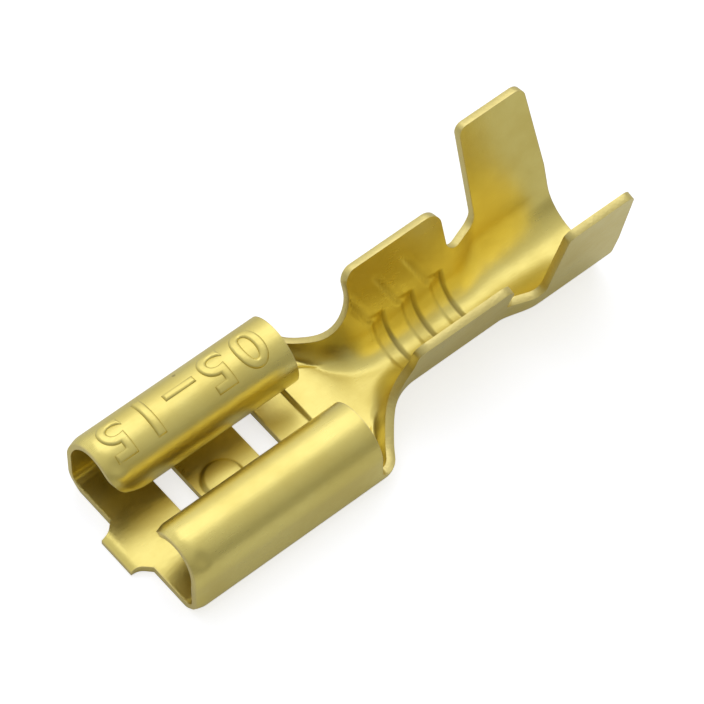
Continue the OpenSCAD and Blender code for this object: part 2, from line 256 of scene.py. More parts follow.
# A station falls on every x at which a window, the stop or a corner begins or ends.
marks = [0, lead_x, windows[0][1], bump_x - 1.0, bump_x + 1.0, windows[1][0], windows[1][1],
         tail_x, stop_x - stop_face, stop_x, roll_l, foot_x]
for a, b in zip(marks, marks[1:]):
    over_bump = abs((a + b) / 2 - bump_x) < 0.5
    lay(a, b, fine_step if over_bump else plain_step, under_roll)
roll_end = len(stations) - 1
lay_arc(roll_l + foot_r, lambda x: run_at(x, wall_h), foot_r, 225, 270, 4)
lay(roll_l + foot_r, corner_x1, gap_step, lambda x: run_at(x, wall_h))
print(len(stations), "stations up to the neck")

# %% The sweep from the low wall up into the wire wing
sweep_pull, sweep_top_z, sweep_cells = 0.35, 3.15, 12


def bezier(a, b, c, d, u):
    """A curve from a to d that leaves towards b and arrives from c."""
    v = 1 - u
    return a * v ** 3 + 3 * b * u * v ** 2 + 3 * c * u * u * v + d * u ** 3


def sweep(u):
    """The front edge of the wire wing, from the low wall at u = 0 to the wing at u = 1."""
    x = bezier(corner_x1, corner_x1 + sweep_pull, wing_x0, wing_x0, u)
    return x, run_at(x, bezier(wall_h, wall_h, wire_h / 2, sweep_top_z, u))


def sweep_split():
    """Where the sweep is as steep as it is long: the corner of the wing's block."""
    for k in range(1, 200):
        (xa, sa), (xb, sb) = sweep((k - 1) / 200), sweep((k + 1) / 200)
        if sb - sa > xb - xa:
            return k / 200


split = sweep_split()
stations += [sweep(split * k / sweep_cells) for k in range(1, sweep_cells + 1)]
wire_start = len(stations) - 1
notch_in = wing_x1 + notch_r * (1 - half_turn)
notch_out = grip_wing_x0 - notch_r * (1 - half_turn)
notch_mid_x = 16.3
notch_side = run_at(notch_mid_x, notch_z) + notch_r * (1 - half_turn)
wire_start_x, wire_start_s = stations[wire_start]


def under_wire(x):
    """The band's edge under the wire wings, straight from the sweep to the notch."""
    return mix(wire_start_s, notch_side, (x - wire_start_x) / (notch_in - wire_start_x))


marks = [wire_start_x]
for c in groove_x:
    marks += [c - groove_w / 2, c - groove_w / 2 + groove_slope,
              c + groove_w / 2 - groove_slope, c + groove_w / 2]
marks.append(notch_in)
for a, b in zip(marks, marks[1:]):
    lay(a, b, wire_step, under_wire)
stations[-1] = (notch_in, run_at(notch_in, notch_z) + notch_r * (1 - half_turn))
wire_end = len(stations) - 1
lay_arc(wing_x1 + notch_r, lambda x: run_at(x, notch_z), notch_r, 225, 270, 6)
lay(wing_x1 + notch_r, grip_wing_x0 - notch_r, gap_step, lambda x: run_at(x, notch_z))
lay_arc(grip_wing_x0 - notch_r, lambda x: run_at(x, notch_z), notch_r, 270, 315, 6)
grip_start = len(stations) - 1
grip_foot = stations[-1][1]
lay(notch_out, grip_x1, plain_step, lambda x: grip_foot)
print(len(stations), "stations in all; the wire wings stand on", wire_start, "to", wire_end)

# %% Edges of the three blocks that stand on the band
def path(points, n):
    """n + 1 points evenly spaced along a line of points."""
    run = [0.0]
    for (xa, sa), (xb, sb) in zip(points, points[1:]):
        run.append(run[-1] + math.hypot(xb - xa, sb - sa))
    out, k = [], 0
    for i in range(n + 1):
        d = run[-1] * i / n
        while k < len(run) - 2 and run[k + 1] < d:
            k += 1
        u = (d - run[k]) / (run[k + 1] - run[k])
        out.append((mix(points[k][0], points[k + 1][0], u), mix(points[k][1], points[k + 1][1], u)))
    return out


def arc(cx, cs, r, a0, a1, n=12, squash=1.0):
    """n + 1 points round an arc, which squash makes lower along s."""
    return [(cx + r * math.cos(math.radians(mix(a0, a1, k / n))),
             cs + r * squash * math.sin(math.radians(mix(a0, a1, k / n)))) for k in range(n + 1)]


def corner_top(first, last, left, right, top_of):
    """Top edge of a block: half an arc, the straight top, half an arc. left and right are
    (centre x, radius, where the arc's columns end on the band, squash)."""
    out = []
    x0, x1 = stations[first][0], stations[last][0]
    left_x, right_x = left[2], right[2]
    for x, _ in stations[first:last + 1]:
        if x < left_x:
            a = math.radians(mix(135, 90, (x - x0) / (left_x - x0)))
            cx, r, _, squash = left
        elif x > right_x:
            a = math.radians(mix(90, 45, (x - right_x) / (x1 - right_x)))
            cx, r, _, squash = right
        else:
            out.append((x, top_of(x)))
            continue
        tx = cx + r * math.cos(a)
        out.append((tx, top_of(tx) - r * squash * (1 - math.sin(a))))
    return out


rows_up = 54
thin = curl_mid_r / curl_r
roll_top = corner_top(lip_end, roll_end, (lead_x, lead_r, lead_x, thin),
                      (tail_x, tail_r, tail_x, thin), lambda x: roll_run)
mouth = [(0.0, low), (0.0, curl_run)]
quarter = curl_run + curl_mid_r * math.pi / 2
rake_cells = 20
mouth += [(mouth_rake * math.sin(math.pi / 2 * k / rake_cells),
           mix(curl_run, quarter, k / rake_cells)) for k in range(1, rake_cells + 1)]
mouth += arc(lead_x, roll_run - lead_r * thin, lead_r, 180, 135, squash=thin)
roll_rear = arc(roll_l + foot_r, low + foot_r, foot_r, 225, 180) + arc(
    tail_x, roll_run - tail_r * thin, tail_r, 0, 45, squash=thin)
print("mouth edge has", len(mouth), "points, rear edge", len(roll_rear))

# %% Edges of the wings
front_r, rear_r = 0.5, 0.6
front_x, rear_x = wing_x0 + front_r, wing_x1 - rear_r


def wing_top(x):
    """How far up the sheet the top of the wire wing lies."""
    return run_at(x, wire_h)


wire_top = corner_top(wire_start, wire_end,
                      (front_x, front_r, groove_x[0] - groove_w / 2, 1.0),
                      (rear_x, rear_r, rear_x, 1.0), wing_top)
front_cells = 14
wire_front = [sweep(mix(split, 1, k / front_cells)) for k in range(front_cells + 1)] + arc(
    front_x, wing_top(wing_x0 + front_r * 0.3) - front_r, front_r, 180, 135)
notch_floor = run_at(wing_x1 + 0.1, notch_z) + notch_r
wire_rear = arc(wing_x1 + notch_r, notch_floor, notch_r, 225, 180) + arc(
    rear_x, wing_top(wing_x1) - rear_r, rear_r, 0, 45)
# The insulation wing's rear edge is upright as far as grip_square_z and leans forward above it.
grip_square_z, grip_rake = 2.6, math.tan(math.radians(4.5))
grip_front_r, grip_rear_r = 0.35, 0.45
grip_top_run = run_at(grip_x1, grip_h)
grip_front_x = grip_wing_x0 + grip_front_r
grip_rear_x = grip_x1 - (grip_h - grip_square_z) * grip_rake - grip_rear_r
grip_top = corner_top(grip_start, len(stations) - 1,
                      (grip_front_x, grip_front_r, grip_front_x, 1.0),
                      (grip_rear_x, grip_rear_r, grip_rear_x, 1.0), lambda x: grip_top_run)
grip_front = arc(grip_wing_x0 - notch_r, grip_foot - notch_r * (1 - half_turn) + notch_r,
                 notch_r, 315, 360) + arc(grip_front_x, grip_top_run - grip_front_r,
                                          grip_front_r, 180, 135)
grip_rear = [(grip_x1, grip_foot), (grip_x1, run_at(grip_x1, grip_square_z))] + arc(
    grip_rear_x, grip_top_run - grip_rear_r, grip_rear_r, 4, 45)
for name, line in (("wire", wire_top), ("insulation", grip_top)):
    print(name, "wing top runs from", [round(v, 2) for v in line[0]], "to",
          [round(v, 2) for v in line[-1]])

# %% Place every grid point on the flat blank
lip_half, even_x = 1.23, 8.65
lip_rows, window_rows, wall_rows = 20, 10, 17
rows_low = [lip_half * k / lip_rows / low for k in range(lip_rows + 1)]
rows_low += [mix(lip_half, window_half, k / window_rows) / low
             for k in range(1, window_rows + 1)]
rows_low += [mix(window_half, low, k / wall_rows) / low for k in range(1, wall_rows + 1)]
band = len(rows_low) - 1
rows = band + rows_up


def block(first, last, left, right, top, left_reach, right_reach):
    """Fill a block between its four edges. The upright edges pull only the nearest columns."""
    left, right = path(left, rows_up), path(right, rows_up)
    placed = {}
    for i in range(first, last + 1):
        bx, bs = stations[i]
        tx, ts = top[i - first]
        wl = max(0.0, 1 - (bx - stations[first][0]) / left_reach) ** 2
        wr = max(0.0, 1 - (stations[last][0] - bx) / right_reach) ** 2
        for k in range(rows_up + 1):
            v = k / rows_up
            x, s = mix(bx, tx, v), mix(bs, ts, v)
            for w, edge, c in ((wl, left, first), (wr, right, last)):
                x += w * (edge[k][0] - mix(stations[c][0], top[c - first][0], v))
                s += w * (edge[k][1] - mix(stations[c][1], top[c - first][1], v))
            placed[i, band + k] = (x, s)
    return placed


flat = {}
for i, (x, edge) in enumerate(stations):
    even = smooth((x - even_x) / (wire_x0 - even_x))
    for j, f in enumerate(rows_low):
        flat[i, j] = (x, edge * mix(f, j / band, even))
flat.update(block(lip_end, roll_end, mouth, roll_rear, roll_top,
                  left_reach=2.6, right_reach=0.9))
flat.update(block(wire_start, wire_end, wire_front, wire_rear, wire_top,
                  left_reach=1.5, right_reach=0.8))
flat.update(block(grip_start, len(stations) - 1, grip_front, grip_rear, grip_top,
                  left_reach=1.0, right_reach=1.0))
# The lip is narrowest at its tip and flares into the floor along a curve.
for i in range(lip_end):
    u = next(k / 400 for k in range(401)
             if bezier(0, 0.35, 0.45, 1, k / 400) >= -stations[i][0] / lip_l - 1e-6)
    reach = bezier(lip_w / 2 + lip_flare, lip_w / 2 + 0.4 * lip_flare, lip_w / 2, lip_w / 2, u)
    for j in range(lip_rows + 1):
        flat[i, j] = (stations[i][0], reach * j / lip_rows)
print("placed", len(flat), "points of the half blank")

# %% [markdown]
# ## Shear, pierce and press
#
# The whole sheet starts as one plain grid. Faces beyond the outline and inside the two windows
# are dropped, the points are moved to their places on the blank, and the sheet is extruded to
# its thickness. The sheared edges are bevelled while everything is still flat, where a bevel
# can't go wrong. The flat coordinates are kept in a UV map, so that the grain of the rolled
# brass can follow the sheet round its bends.

# %% Cut the blank out of a grid
def inside(i, j):
    """Whether the grid cell from i to i + 1 and j to j + 1 is sheet."""
    if i < lip_end:
        return j < lip_rows
    if j < band:
        x0, x1 = stations[i][0], stations[i + 1][0]
        in_window = any(a - 0.01 <= x0 and x1 <= b + 0.01 for a, b in windows)
        return not (in_window and j < lip_rows + window_rows)
    return lip_end <= i < roll_end or wire_start <= i < wire_end or i >= grip_start


bm = bmesh.new()
columns = len(stations) - 1
bmesh.ops.create_grid(bm, x_segments=columns, y_segments=2 * rows, size=1.0)
index = {}
for v in bm.verts:
    index[v] = (round((v.co.x + 1) / 2 * columns), round((v.co.y + 1) / 2 * 2 * rows) - rows)
waste = []
for f in bm.faces:
    i = min(index[v][0] for v in f.verts)
    j = min(abs(index[v][1]) for v in f.verts)
    if not inside(i, j):
        waste.append(f)
bmesh.ops.delete(bm, geom=waste, context="FACES")
for v in bm.verts:
    i, j = index[v]
    x, s = flat[i, abs(j)]
    v.co = (x, math.copysign(s, j), -m)
print("grid", columns, "by", 2 * rows, "cells;", len(waste), "cut away,", len(bm.faces), "left")

# %% Thickness, and the softened sheared edges
grown = bmesh.ops.extrude_face_region(bm, geom=bm.faces[:])
bmesh.ops.translate(bm, vec=(0, 0, sheet_t), verts=[g for g in grown["geom"]
                                                    if isinstance(g, bmesh.types.BMVert)])
bmesh.ops.recalc_face_normals(bm, faces=bm.faces[:])
open_edges = sum(1 for e in bm.edges if len(e.link_faces) != 2)
print("solid blank:", len(bm.faces), "faces,", open_edges, "open edges")


def rim_edges(side_sign):
    """The edges between a flat face of the blank and its sheared rim, above or below."""
    rim = []
    for e in bm.edges:
        if len(e.link_faces) == 2 and all(v.co.z * side_sign > 0 for v in e.verts):
            ups = sorted(abs(f.normal.z) for f in e.link_faces)
            if ups[0] < 0.1 and ups[1] > 0.9:
                rim.append(e)
    return rim


rim_below, rim_above = 0.05, 0.03
for side_sign, size in ((-1, rim_below), (1, rim_above)):
    bmesh.ops.bevel(bm, geom=rim_edges(side_sign), offset=size, offset_type="OFFSET",
                    affect="EDGES", segments=2, profile=0.5, material=-1, clamp_overlap=True)
print("after the bevels:", len(bm.faces), "faces")

# %% [markdown]
# Grooves, locking bump, tab stop and the lead-in of the lip are pressed into the flat blank. A
# pressing moves points up or down through the thickness. The grooves, the creases on the wire
# wings and the lip's lead-in sink only the upper face. The bump and the stop carry both faces
# with them, as they do in thin sheet. The band round the mouth and the dents behind it move the
# face that ends up outside.

# %% Sizes of the pressings
wire_bend_run = (wire_out_r - m) * (math.pi / 2 - math.radians(wire_lean))
groove_tilt = 0.72
crease_h, crease_lean, crease_gap, crease_l, crease_fade = 0.065, 0.42, 0.2, 2.4, 0.9
crease_front_w, crease_rear_w = 0.16, 0.5
bump_edge, bump_dome = 0.12, 0.34
stop_taper, stop_side_gap, stop_edge = 0.62, 0.3, 0.12
coin_l, coin_h, coin_start = 0.4, 0.11, 0.4
lip_lead_l, lip_lead_h = 0.4, 0.12
dent_l, dent_w, dent_h = 0.33, 0.42, 0.07
uv_unit = 10
print("grooves at", [round(x, 2) for x in groove_x], "and the wire bend ends at",
      round(wire_bend_run, 2))

# %% Pressings
def groove_depth(x, s):
    """The three grooves of the wire barrel. They run out on the walls and are deepest along
    their rear edges."""
    run_out = max(0.0, abs(s) - wire_bend_run)
    inner = wire_out_r - sheet_t
    depth = groove_h - (math.hypot(inner, run_out) - inner)
    near = min((x - c for c in groove_x), key=abs)
    front = smooth((groove_w / 2 + near) / groove_slope)
    rear = smooth((groove_w / 2 - near) / groove_slope)
    tilt = 0.64 + groove_tilt * near / groove_w
    return max(depth, 0.0) * front * rear * tilt


def crease_depth(x, s):
    """The punch leaves a faint line on each wing, running up and forward off every groove."""
    if not wire_x0 - 0.5 < x < wire_x1:
        return 0.0
    run = abs(s) - wire_bend_run - crease_gap
    if run < 0:
        return 0.0
    off = min((x - (c - groove_w / 2 - crease_lean * run) for c in groove_x), key=abs)
    across = 1 + off / crease_front_w if off < 0 else 1 - off / crease_rear_w
    along = smooth(run / 0.25), smooth((crease_l - run) / crease_fade)
    return crease_h * smooth(across) * along[0] * along[1]


def painted_groove_shade(x, s):
    """Painted shade: darkens the sharp rear corner of each groove, where its steep wall lies in
    shade, most of all on the far side, and darkens the creases faintly."""
    off = min(abs(x - (c + groove_w / 2 - groove_slope)) for c in groove_x)
    top = min(abs(x - (c + groove_w / 2)) for c in groove_x)
    deep = groove_depth(x, s) / groove_h
    corner = smooth(1 - off / 0.05) * min(1.0, 1.2 * deep)
    lip = 0.4 * smooth(1 - top / 0.02) * (groove_depth(x - groove_slope, s) > 0.03)
    wing_line = 0.45 * smooth(crease_depth(x, s) / crease_h - 0.25)
    return max(max(corner, lip) * (0.45 + 0.55 * smooth((s + 1.6) / 2.2)), wing_line)


def bump_height(x, s):
    """The round locking bump: a steep edge with a low dome on it."""
    d = math.hypot(x - bump_x, s) / bump_r
    if d >= 1:
        return 0.0
    return bump_h * (0.66 * smooth((1 - d) / bump_edge) + bump_dome * (1 - d * d))


def stop_height(x, s):
    """The tab stop: an upright step, behind which the floor slopes down and narrows."""
    u = (x - stop_x) / stop_l
    if x < stop_x - 0.004 or u > 1:
        return 0.0
    half = flat_y - stop_side_gap - stop_taper * stop_l * u
    return stop_h * (1 - u) * smooth((half - abs(s)) / stop_edge + 0.5)


def mouth_at(s):
    """Where the mouth edge lies, s along the sheet."""
    for (xa, sa), (xb, sb) in zip(mouth_line, mouth_line[1:]):
        if sa <= s <= sb:
            return mix(xa, xb, (s - sa) / max(sb - sa, 1e-6))
    return 0.0 if s < mouth_line[0][1] else mouth_line[-1][0]


def coining(x, s):
    """The press flattens the outside of the mouth into a narrow band that leans to the front."""
    back = 1 - (x - mouth_at(abs(s))) / coin_l
    return coin_h * min(max(back, 0.0), 1.0) ** 1.5 * smooth((abs(s) - flat_y) / coin_start)


def dent(x, s, cx, turn_deg):
    """A shallow dent, under a millimetre across, at that angle round the curl."""
    cs = curl_run + curl_mid_r * math.radians(turn_deg)
    d = ((x - cx) / dent_l) ** 2 + ((abs(s) - cs) / dent_w) ** 2
    return dent_h * (1 - d) ** 2 if d < 1 else 0.0


mouth_line = mouth + [q for q in roll_top if q[0] < lead_x]

# %% Mark the sheared faces, keep the flat coordinates, and press
uv = bm.loops.layers.uv.new("sheet")
sheared = bm.verts.layers.float.new("sheared")
painted_shade = bm.verts.layers.float.new("painted_shade")
for v in bm.verts:
    v[sheared] = 1.0 if any(abs(f.normal.z) < 0.95 for f in v.link_faces) else 0.0
for f in bm.faces:
    for loop in f.loops:
        loop[uv].uv = (loop.vert.co.x / uv_unit, loop.vert.co.y / uv_unit)
pressed = 0
for v in bm.verts:
    x, s, t = v.co
    both = bump_height(x, s) + stop_height(x, s)
    top_only = groove_depth(x, s) + crease_depth(x, s) if t > 0 else 0.0
    # Painted shade for the grooves' rear corners and the wing creases, kept on the upper face.
    v[painted_shade] = painted_groove_shade(x, s) if t > 0 else 0.0
    if x < lip_lead_l - lip_l:
        top_only += lip_lead_h * (1 - (x + lip_l) / lip_lead_l) ** 2 * (t + m) / sheet_t
    if abs(s) > flat_y and x < lead_x:
        both += coining(x, s) * (m - t) / sheet_t
    if x < 1 and t < 0:
        both += dent(x, s, 0.62, 128) if s > 0 else dent(x, s, 0.6, 46)
    pressed += both > 0 or top_only > 0
    v.co.z = t + both - top_only
print(pressed, "points pressed")

# %% [markdown]
# ## Bend
#
# Each point of the blank has a place along the part, x, a distance from the middle line, s, and a
# height through the sheet, t. Bending keeps the three and only changes what s and t mean.

# %% Bend the blank and finish the mesh
for v in bm.verts:
    x, s, t = v.co
    p = folded(x, s, t)
    v.co = ((p.x - x_shift) * MM, p.y * MM, p.z * MM)
bmesh.ops.recalc_face_normals(bm, faces=bm.faces[:])
for f in bm.faces:
    f.smooth = True
mesh = bpy.data.meshes.new("terminal sheet")
bm.to_mesh(mesh)
bm.free()
sheet = bpy.data.objects.new("terminal_sheet", mesh)
bpy.context.collection.objects.link(sheet)
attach(sheet, "root")
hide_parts("terminal")
print("terminal sheet:", len(mesh.vertices), "points,", len(mesh.polygons), "faces")

# %% [markdown]
# ## Stamped figures
#
# The top of one curl carries plain size figures, raised by a little less than a tenth of a
# millimetre. They are set as flat text on the blank, sliced into narrow strips so that they can
# bend, and then bent with the same function as the sheet, which lays them exactly on the curl.
# Their base lies inside the sheet, so no gap shows under them.

# %% Raised size figures on the curl
figure_h, figure_round, figure_sink = 1.7, 0.11, 0.06
text_per_height, letter_gap, stroke_trim, stroke_side = 1.36, 1.28, -0.03, 0.03
strips = 16


def raised_figures(body, x, turn_deg):
    """A row of figures whose middle is at x and at that angle round the curl."""
    text = bpy.data.curves.new("figures", "FONT")
    text.body = body
    text.size = figure_h * text_per_height
    text.align_x, text.align_y = "CENTER", "CENTER"
    text.space_character = letter_gap
    text.offset = stroke_trim
    text.extrude = stroke_side
    text.bevel_depth = figure_round
    text.bevel_resolution = 3
    flat_text = bpy.data.objects.new("figures", text)
    bpy.context.collection.objects.link(flat_text)
    made = bpy.data.meshes.new_from_object(flat_text.evaluated_get(
        bpy.context.evaluated_depsgraph_get()))
    bpy.data.objects.remove(flat_text)
    fm = bmesh.new()
    fm.from_mesh(made)
    bpy.data.meshes.remove(made)
    bmesh.ops.remove_doubles(fm, verts=fm.verts[:], dist=0.0005)
    low_y, high_y = min(v.co.y for v in fm.verts), max(v.co.y for v in fm.verts)
    for k in range(1, strips):
        bmesh.ops.bisect_plane(fm, geom=fm.verts[:] + fm.edges[:] + fm.faces[:],
                               plane_co=(0, mix(low_y, high_y, k / strips), 0),
                               plane_no=(0, 1, 0), dist=0.0001)
    middle = curl_run + curl_mid_r * math.radians(turn_deg)
    for name in ("sheared", "painted_shade"):
        fm.verts.layers.float.new(name)
    uv = fm.loops.layers.uv.new("sheet")
    for f in fm.faces:
        for loop in f.loops:
            loop[uv].uv = ((x - loop.vert.co.x) / uv_unit,
                           (middle + loop.vert.co.y * thin) / uv_unit)
    for v in fm.verts:
        s = middle + v.co.y * thin
        p = folded(x - v.co.x, s, -m - v.co.z + figure_sink)
        v.co = (p.x - x_shift, p.y, p.z)
    bmesh.ops.recalc_face_normals(fm, faces=fm.faces[:])
    if fm.calc_volume(signed=True) < 0:
        bmesh.ops.reverse_faces(fm, faces=fm.faces[:])
    print("figures hold", round(fm.calc_volume(signed=True), 3), "mm3")
    bmesh.ops.scale(fm, vec=(MM, MM, MM), verts=fm.verts[:])
    for f in fm.faces:
        f.smooth = True
    return fm


figure_mesh = bpy.data.meshes.new("size figures")
fm = raised_figures("05\u201315", 4.15, 88)
fm.to_mesh(figure_mesh)
print("figures:", len(fm.verts), "points,", sum(1 for e in fm.edges if len(e.link_faces) != 2),
      "open edges")
fm.free()
figures = bpy.data.objects.new("size_figures", figure_mesh)
bpy.context.collection.objects.link(figures)
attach(figures, "root")

# %% [markdown]
# ## Brass
#
# The finish is bright rolled brass that has been through the press: metallic, with a soft
# reflection. Three effects are built once as node groups and mixed in the material. Rolling grain
# runs along the sheet and follows its bends through the UV map. Handling haze varies the colour
# and the gloss in soft patches, and adds the odd dark fleck of oil or dirt left from the press.
# The sheared edge is paler and rougher, and torn a little. Painted shade darkens the rear corners
# of the grooves and the creases; it comes straight from the mesh, as a vertex attribute.

# %% Helpers for node groups
def new_group(name, ins, outs):
    """A node group with its input and output nodes. ins are (label, kind, value)."""
    group = bpy.data.node_groups.new(name, "ShaderNodeTree")
    for label, kind, value in ins:
        socket = group.interface.new_socket(label, in_out="INPUT", socket_type=kind)
        if value is not None:
            socket.default_value = value
    for label, kind in outs:
        group.interface.new_socket(label, in_out="OUTPUT", socket_type=kind)
    return group, group.nodes.new("NodeGroupInput"), group.nodes.new("NodeGroupOutput")


def node(tree, kind, **settings):
    """A new node with those settings."""
    made = tree.nodes.new(kind)
    for key, value in settings.items():
        setattr(made, key, value)
    return made


def math_node(tree, operation, a, b):
    """A math node whose a and b are each a number or a socket to link from."""
    made = node(tree, "ShaderNodeMath", operation=operation)
    for socket, value in zip(made.inputs, (a, b)):
        if isinstance(value, (int, float)):
            socket.default_value = value
        else:
            tree.links.new(value, socket)
    return made.outputs[0]


def remap(tree, value, low_in, high_in, low_out, high_out):
    """An S curve from low_out to high_out as the value goes from low_in to high_in."""
    made = node(tree, "ShaderNodeMapRange", interpolation_type="SMOOTHSTEP")
    tree.links.new(value, made.inputs["Value"])
    for label, number in (("From Min", low_in), ("From Max", high_in), ("To Min", low_out),
                          ("To Max", high_out)):
        made.inputs[label].default_value = number
    return made.outputs["Result"]


FLOAT, VECTOR = "NodeSocketFloat", "NodeSocketVector"

# %% Rolling grain, along the sheet
line_share, pebble_share = 0.45, 0.55
grain, g_in, g_out = new_group(
    "rolling grain", [("Sheet", VECTOR, None), ("Fineness", FLOAT, 1.0)],
    [("Height", FLOAT), ("Gloss", FLOAT)])
stretch = node(grain, "ShaderNodeMapping")
stretch.inputs["Scale"].default_value = (18, 260, 1)
grain.links.new(g_in.outputs["Sheet"], stretch.inputs["Vector"])
lines = node(grain, "ShaderNodeTexNoise", noise_dimensions="2D")
grain.links.new(stretch.outputs[0], lines.inputs["Vector"])
grain.links.new(g_in.outputs["Fineness"], lines.inputs["Scale"])
lines.inputs["Detail"].default_value = 3.0
pebble = node(grain, "ShaderNodeTexNoise", noise_dimensions="2D")
grain.links.new(g_in.outputs["Sheet"], pebble.inputs["Vector"])
pebble.inputs["Scale"].default_value = 90.0
pebble.inputs["Detail"].default_value = 2.0
mixed = math_node(grain, "ADD", math_node(grain, "MULTIPLY", lines.outputs["Fac"], line_share),
                  math_node(grain, "MULTIPLY", pebble.outputs["Fac"], pebble_share))
grain.links.new(mixed, g_out.inputs["Height"])
grain.links.new(remap(grain, lines.outputs["Fac"], 0.3, 0.7, 0.0, 1.0), g_out.inputs["Gloss"])
print("group:", grain.name)

# %% Handling haze and flecks
patches_per_metre, fleck_cells, fleck_from = 420.0, 1100.0, 0.965
haze, h_in, h_out = new_group(
    "handling haze", [("Place", VECTOR, None), ("Size", FLOAT, 1.0)],
    [("Patch", FLOAT), ("Fleck", FLOAT)])
cloud = node(haze, "ShaderNodeTexNoise")
haze.links.new(h_in.outputs["Place"], cloud.inputs["Vector"])
haze.links.new(math_node(haze, "MULTIPLY", h_in.outputs["Size"], patches_per_metre),
               cloud.inputs["Scale"])
cloud.inputs["Detail"].default_value = 4.0
cloud.inputs["Roughness"].default_value = 0.6
haze.links.new(remap(haze, cloud.outputs["Fac"], 0.35, 0.68, 0.0, 1.0), h_out.inputs["Patch"])
dots = node(haze, "ShaderNodeTexVoronoi")
haze.links.new(h_in.outputs["Place"], dots.inputs["Vector"])
dots.inputs["Scale"].default_value = fleck_cells
small = remap(haze, dots.outputs["Distance"], 0.05, 0.11, 1.0, 0.0)
few = node(haze, "ShaderNodeSeparateColor")
haze.links.new(dots.outputs["Color"], few.inputs[0])
rare = math_node(haze, "GREATER_THAN", few.outputs[0], fleck_from)
haze.links.new(math_node(haze, "MULTIPLY", small, rare), h_out.inputs["Fleck"])
print("group:", haze.name)

# %% Sheared edge
edge, e_in, e_out = new_group(
    "sheared edge", [("Edge", FLOAT, 0.0), ("Place", VECTOR, None)],
    [("Mask", FLOAT), ("Tear", FLOAT)])
edge.links.new(remap(edge, e_in.outputs["Edge"], 0.35, 0.85, 0.0, 1.0), e_out.inputs["Mask"])
tear = node(edge, "ShaderNodeTexNoise")
edge.links.new(e_in.outputs["Place"], tear.inputs["Vector"])
tear.inputs["Scale"].default_value = 9000.0
tear.inputs["Detail"].default_value = 3.0
edge.links.new(math_node(edge, "MULTIPLY", tear.outputs["Fac"], e_in.outputs["Edge"]),
               e_out.inputs["Tear"])
print("group:", edge.name)

# %% The brass material
# The second colour is painted shade: a dark brown mixed into the grooves' rear corners and the
# creases.
fleck_colour, groove_shade_colour = (0.16, 0.10, 0.04), (0.20, 0.13, 0.03)
edge_share, fleck_share, groove_shade_share = 0.8, 0.5, 0.6
grain_gloss, patch_gloss, edge_gloss = 0.08, 0.06, 0.08
grain_height, tear_height = 0.9, 3.2
bump_strength, bump_distance = 0.22, 0.00002


def brass_material(name, colour, deep, pale, rough):
    """Brass of one colour, deeper in the hazy patches and paler on the sheared edges."""
    made = bpy.data.materials.new(name)
    made.use_nodes = True
    tree = made.node_tree
    skin = tree.nodes["Principled BSDF"]
    skin.inputs["Metallic"].default_value = 1.0
    place = node(tree, "ShaderNodeTexCoord").outputs["Object"]
    flat_uv = node(tree, "ShaderNodeUVMap", uv_map="sheet").outputs["UV"]
    cut = node(tree, "ShaderNodeAttribute", attribute_name="sheared").outputs["Fac"]
    g = node(tree, "ShaderNodeGroup", node_tree=grain)
    h = node(tree, "ShaderNodeGroup", node_tree=haze)
    e = node(tree, "ShaderNodeGroup", node_tree=edge)
    tree.links.new(flat_uv, g.inputs["Sheet"])
    tree.links.new(place, h.inputs["Place"])
    tree.links.new(place, e.inputs["Place"])
    tree.links.new(cut, e.inputs["Edge"])

    def blend(factor, a, b):
        """From a to b as the factor rises. Each is a colour or a socket to link from."""
        m_node = node(tree, "ShaderNodeMix", data_type="RGBA")
        tree.links.new(factor, m_node.inputs["Factor"])
        for label, value in (("A", a), ("B", b)):
            if isinstance(value, tuple):
                m_node.inputs[label].default_value = (*value, 1)
            else:
                tree.links.new(value, m_node.inputs[label])
        return m_node.outputs["Result"]

    # Painted shade in the grooves' rear corners and the creases, read from the mesh.
    line = node(tree, "ShaderNodeAttribute", attribute_name="painted_shade").outputs["Fac"]
    tone = blend(h.outputs["Patch"], colour, deep)
    for mask, share, other in ((e.outputs["Mask"], edge_share, pale),
                               (h.outputs["Fleck"], fleck_share, fleck_colour),
                               (line, groove_shade_share, groove_shade_colour)):
        tone = blend(math_node(tree, "MULTIPLY", mask, share), tone, other)
    tree.links.new(tone, skin.inputs["Base Color"])
    gloss = rough
    for mask, share in ((g.outputs["Gloss"], grain_gloss), (h.outputs["Patch"], patch_gloss),
                        (e.outputs["Mask"], edge_gloss)):
        gloss = math_node(tree, "ADD", gloss, math_node(tree, "MULTIPLY", mask, share))
    tree.links.new(gloss, skin.inputs["Roughness"])
    high = math_node(tree, "ADD", math_node(tree, "MULTIPLY", g.outputs["Height"], grain_height),
                     math_node(tree, "MULTIPLY", e.outputs["Tear"], tear_height))
    bump = node(tree, "ShaderNodeBump")
    bump.inputs["Strength"].default_value = bump_strength
    bump.inputs["Distance"].default_value = bump_distance
    tree.links.new(high, bump.inputs["Height"])
    tree.links.new(bump.outputs["Normal"], skin.inputs["Normal"])
    return made


brass = brass_material("bright rolled brass", (0.84, 0.715, 0.215), (0.79, 0.655, 0.18),
                       (0.76, 0.64, 0.24), 0.27)
sheet.data.materials.append(brass)
figures.data.materials.append(brass)
print("material:", brass.name, "with", len(brass.node_tree.nodes), "nodes")

# %% [markdown]
# ## Floor, light and camera
#
# The floor is plain and pale. What the camera sees of it is lifted close to white through Light
# Path, and what the metal mirrors of it a little, while the floor keeps the part's own soft
# shadow. A large softbox hangs where the flat faces mirror it to the camera, a weaker one fills
# in from behind, and a graded studio sky does the rest.

